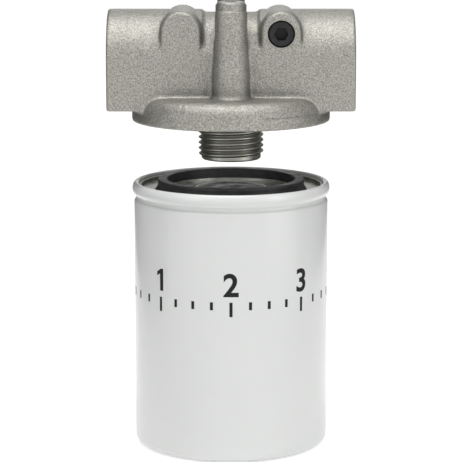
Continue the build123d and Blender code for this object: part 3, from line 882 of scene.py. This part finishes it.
EIGHTHS = 8
TICKS_PER_EIGHTH = 4
NUMERAL_HEIGHT = 8.6 * MM
CAPITALS_PER_SIZE = 0.7
NUMERAL_WEIGHT = 0.28 * MM
NUMERAL_DROP = 38.6 * MM
FRONT_NUMERAL = 2
TICK_HEIGHT = 5.6 * MM
SHORT_TICK = 0.55
TICK_WIDTH = 1.2 * MM
TICK_DROP = 2.4 * MM
INK_HEIGHT = 0.02 * MM
LONGEST_PRINT_EDGE = 0.9 * MM
FIGURE_ONE = ((-0.05, 0), (0.15, 0), (0.15, 1), (0, 1), (-0.24, 0.84), (-0.24, 0.66), (-0.05, 0.77))


def wrap_onto_can(name, mesh, turn):
    """Bends a flat print, drawn in the XY plane, onto the can's side at a turn from the front."""
    shape = bmesh.new()
    shape.from_mesh(mesh)
    bmesh.ops.triangulate(shape, faces=shape.faces)
    for _ in range(3):
        long_edges = [edge for edge in shape.edges if edge.calc_length() > LONGEST_PRINT_EDGE]
        bmesh.ops.subdivide_edges(shape, edges=long_edges, cuts=1)
        bmesh.ops.triangulate(shape, faces=shape.faces)
    base = can_high[2] - NUMERAL_DROP
    for vert in shape.verts:
        angle = turn - math.pi / 2 + vert.co.x / CAN_RADIUS
        out = CAN_RADIUS + INK_HEIGHT + vert.co.z
        vert.co = (out * math.cos(angle), out * math.sin(angle), base + vert.co.y)
    shape.to_mesh(mesh)
    shape.free()
    mesh.name = name
    piece = new_object(name, mesh)
    finish_piece(piece, MATERIALS["ink"], "can")


def flat_print(name, outlines):
    """A mesh of the ink's thickness in the XY plane, from closed outlines."""
    shape = bmesh.new()
    for outline in outlines:
        near, far = ([(x, y, z) for x, y in outline] for z in (-INK_HEIGHT / 2, INK_HEIGHT / 2))
        prism(shape, near, far)
    piece = mesh_object(name, shape)
    mesh = piece.data
    bpy.data.objects.remove(piece)
    return mesh


def numeral_mesh(text):
    """A bold plain number in the XY plane, centred; a 1 has a flag so that it doesn't read as a tick."""
    if text == "1":
        return flat_print("figure_one", [[(x * NUMERAL_HEIGHT, y * NUMERAL_HEIGHT) for x, y in FIGURE_ONE]])
    curve = bpy.data.curves.new("numeral", "FONT")
    curve.body = text
    curve.size = NUMERAL_HEIGHT / CAPITALS_PER_SIZE
    curve.align_x = "CENTER"
    curve.offset = NUMERAL_WEIGHT
    curve.extrude = INK_HEIGHT / 2
    curve.resolution_u = 6
    source = new_object("numeral_source", curve)
    graph = bpy.context.evaluated_depsgraph_get()
    mesh = bpy.data.meshes.new_from_object(source.evaluated_get(graph))
    bpy.data.objects.remove(source)
    return mesh


def dress_numerals():
    """A plain scale of eighth turns round the can, for tightening by hand: numbers over ticks."""
    for number in range(1, EIGHTHS + 1):
        turn = 2 * math.pi * (number - FRONT_NUMERAL) / EIGHTHS
        wrap_onto_can(f"numeral_{number}", numeral_mesh(str(number)), turn)
    count = TICKS_PER_EIGHTH * EIGHTHS
    top = -TICK_DROP
    ticks = []
    for step in range(count):
        low = top - (TICK_HEIGHT if step % TICKS_PER_EIGHTH == 0 else TICK_HEIGHT * SHORT_TICK)
        middle = 2 * math.pi * step / count * CAN_RADIUS
        left, right = middle - TICK_WIDTH / 2, middle + TICK_WIDTH / 2
        ticks.append([(left, top), (right, top), (right, low), (left, low)])
    wrap_onto_can("turn_scale", flat_print("ticks", ticks), 0)


# ---------------------------------------------------------------- other nodes

NODE_MATERIALS = {
    "gauge_plug": "plug",
    "bypass_poppet": "plate",
    "spring_retainer": "plate",
    "retaining_ring": "spring",
    "threaded_plate": "plate",
    "cartridge_seal": "rubber",
    "upper_end_cap": "lid",
    "lower_end_cap": "lid",
    "centre_tube": "lid",
    "pleated_media": "paper",
    "media_seam_clip": "lid",
    "support_spring": "spring",
}


def dress_nodes():
    """Better materials for the CAD nodes that stay."""
    for node, name in NODE_MATERIALS.items():
        for slot in frame["nodes"][node].material_slots:
            slot.material = MATERIALS[name]


def dress_bypass_spring():
    """The bypass valve's spring as a piece of its own in the head's body; the real spring shortens towards
    its fixed end as the poppet lifts.
    """
    spring = new_object("coil_spring", frame["nodes"]["bypass_spring"].data.copy())
    finish_piece(spring, MATERIALS["spring"], "head")
    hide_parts("bypass_spring")
    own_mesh(spring)


# ---------------------------------------------------------------- floor, light and camera

SENSOR_WIDTH = 36
FOCAL_LENGTH = 167.1
CAMERA_DISTANCE = 0.8324
CAMERA_HEIGHT = 0.0575
CAMERA_TILT = 10.143
FLOOR_SIZE = 6.0
FLOOR_GAP = 0.5 * MM
FLOOR_GLOW = 0.62
FILL_LEVEL = 0.38


def seen_directly(tree):
    """1 for camera, glossy and transmission rays, which see the white surroundings; else 0."""
    path = tree.nodes.new("ShaderNodeLightPath")
    total = path.outputs["Is Camera Ray"]
    for ray in ("Is Glossy Ray", "Is Transmission Ray"):
        either = tree.nodes.new("ShaderNodeMath")
        either.operation = "MAXIMUM"
        tree.links.new(total, either.inputs[0])
        tree.links.new(path.outputs[ray], either.inputs[1])
        total = either.outputs[0]
    return total


def make_floor():
    """A plain white floor just under the can, which keeps the object's shadow."""
    mesh = bpy.data.meshes.new("floor")
    half = FLOOR_SIZE / 2
    z = can_low[2] - FLOOR_GAP
    corners = [(-half, -half, z), (half, -half, z), (half, half, z), (-half, half, z)]
    mesh.from_pydata(corners, [], [(0, 1, 2, 3)])
    floor = new_object("floor", mesh)
    material = make_material("floor_white", (0.9, 0.9, 0.9), 0.0, 0.9)
    nodes, links = material.node_tree.nodes, material.node_tree.links
    shader = nodes["Principled BSDF"]
    shader.inputs["Emission Color"].default_value = (1, 1, 1, 1)
    level = nodes.new("ShaderNodeMath")
    level.operation = "MULTIPLY"
    level.inputs[1].default_value = FLOOR_GLOW
    links.new(seen_directly(material.node_tree), level.inputs[0])
    links.new(level.outputs[0], shader.inputs["Emission Strength"])
    mesh.materials.append(material)


def make_world():
    """Even white surroundings, white where the camera sees them."""
    world = bpy.data.worlds.new("studio")
    bpy.context.scene.world = world
    world.use_nodes = True
    nodes, links = world.node_tree.nodes, world.node_tree.links
    background = nodes["Background"]
    background.inputs["Color"].default_value = (1, 1, 1, 1)
    level = nodes.new("ShaderNodeMapRange")
    level.inputs["To Min"].default_value = FILL_LEVEL
    level.inputs["To Max"].default_value = 1.0
    links.new(seen_directly(world.node_tree), level.inputs["Value"])
    links.new(level.outputs["Result"], background.inputs["Strength"])


def soft_light(name, place, aim, size, power):
    """A rectangular soft box aimed at a point."""
    data = bpy.data.lights.new(name, "AREA")
    data.shape = "RECTANGLE"
    data.size, data.size_y = size
    data.energy = power
    light = bpy.data.objects.new(name, data)
    bpy.context.collection.objects.link(light)
    light.location = place
    direction = Vector(aim) - Vector(place)
    light.rotation_euler = direction.to_track_quat("-Z", "Y").to_euler()


# Each soft box: its name, place, width and height, and power
SOFT_BOXES = (
    ("left_box", (-0.75, -0.75, 0.25), (0.35, 0.9), 1.75),
    ("right_box", (0.85, -0.6, 0.2), (0.35, 0.9), 3.1),
    ("top_box", (-0.05, -0.16, 0.8), (0.6, 0.3), 6.4),
)
# Each flag: its side, how far aside its near edge stands, and its top
FLAGS = ((-1, 0.3, 0.42), (1, 0.42, 0.36))
FLAG_NEAR_Y = -0.08
FLAG_FAR = (0.16, 0.75)


def make_lights():
    """Two tall side boxes and one overhead, aimed at the object's middle."""
    middle = (0, 0, (can_low[2] + head_high[2]) / 2)
    for name, place, size, power in SOFT_BOXES:
        soft_light(name, place, middle, size, power)


def make_flags():
    """Two grey cards beside and behind the object, out of sight, which give its pale sides an edge."""
    card = make_material("flag_grey", (0.16, 0.16, 0.16), 0.0, 0.9)
    low = can_low[2] - 0.4 * MM
    for side, near_x, level in FLAGS:
        near = (side * near_x, FLAG_NEAR_Y)
        far = (side * FLAG_FAR[0], FLAG_FAR[1])
        mesh = bpy.data.meshes.new("flag")
        corners = [(*near, low), (*far, low), (*far, level), (*near, level)]
        mesh.from_pydata(corners, [], [(0, 1, 2, 3)])
        mesh.materials.append(card)
        flag = new_object("flag", mesh)
        flag.visible_camera = False
        flag.visible_shadow = False


def make_camera():
    """The camera in front, a little above the head, looking slightly down."""
    data = bpy.data.cameras.new("camera")
    data.sensor_width = SENSOR_WIDTH
    data.lens = FOCAL_LENGTH
    camera = bpy.data.objects.new("camera", data)
    bpy.context.collection.objects.link(camera)
    camera.location = (0, -CAMERA_DISTANCE, CAMERA_HEIGHT)
    camera.rotation_euler = (math.radians(90 - CAMERA_TILT), 0, 0)
    bpy.context.scene.camera = camera


dress_nodes()
dress_bypass_spring()
dress_head()
dress_parting_line()
dress_threads()
dress_can()
dress_gasket()
dress_lid()
dress_numerals()
make_floor()
make_world()
make_lights()
make_flags()
make_camera()
bpy.context.scene.view_settings.view_transform = "Standard"
